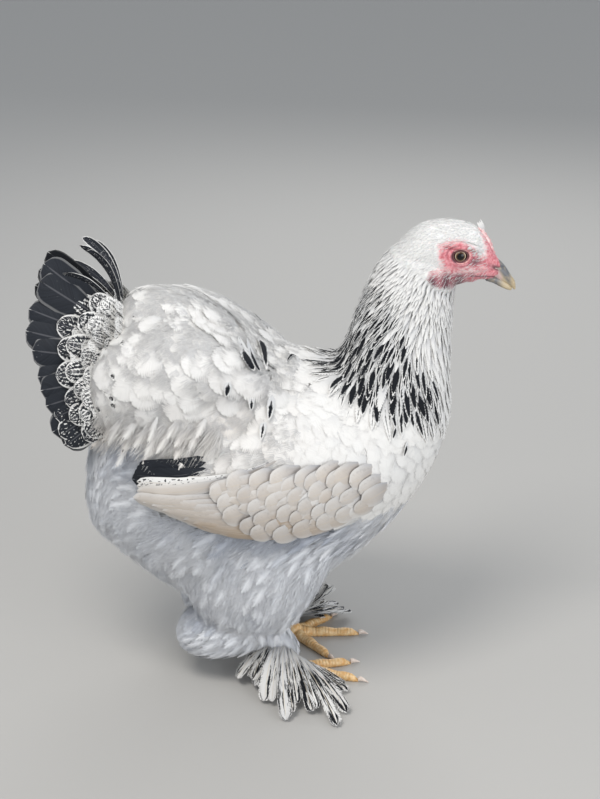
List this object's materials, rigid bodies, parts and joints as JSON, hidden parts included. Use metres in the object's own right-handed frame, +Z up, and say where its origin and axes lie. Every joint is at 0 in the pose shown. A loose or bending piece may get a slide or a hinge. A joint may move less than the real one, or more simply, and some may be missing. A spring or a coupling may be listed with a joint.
{
  "type": "brahma chicken",
  "caption": "Standing hen of a heavy feather-footed breed, with a raised saddle, short upright tail, pointed hackle cape, low pea comb and fans of feathers on its feet.",
  "frame": {"origin": "centre of the bounding box in plan, on the floor the toes stand on", "axes": "+X towards the bill, +Y to the hen's left, +Z up"},
  "size_m": [0.4396, 0.2806, 0.4392],
  "materials": {
    "feathered_skin": "skin and flesh under close white feathers, matt with a warm tint",
    "white_feathers": "soft matt feathers, white with a warm tint",
    "fluff": "downy matt feathers, pale blue-grey",
    "black_feathers": "satin feathers, black with pale laced edges",
    "face_skin": "bare pink skin with fine bumps",
    "horn": "smooth satin horn",
    "eye": "wet gloss",
    "toe_scales": "yellow scaled skin, satin",
    "claw": "smooth pale horn"
  },
  "bodies": {
    "root": {"torso": "feathered_skin", "saddle": "white_feathers", "neck": "white_feathers", "head": "face_skin", "comb": "face_skin", "beak_upper": "horn", "beak_lower": "horn", "tail": "black_feathers", "eye_right": "eye", "wing_right": "white_feathers", "thigh_right": "fluff", "shank_right": "white_feathers", "foot_right": "toe_scales", "claw_middle_right": "claw", "claw_inner_right": "claw", "claw_outer_right": "claw", "claw_hind_right": "claw", "eye_left": "eye", "wing_left": "white_feathers", "thigh_left": "fluff", "shank_left": "white_feathers", "foot_left": "toe_scales", "claw_middle_left": "claw", "claw_inner_left": "claw", "claw_outer_left": "claw", "claw_hind_left": "claw"}
  },
  "joints": []
}
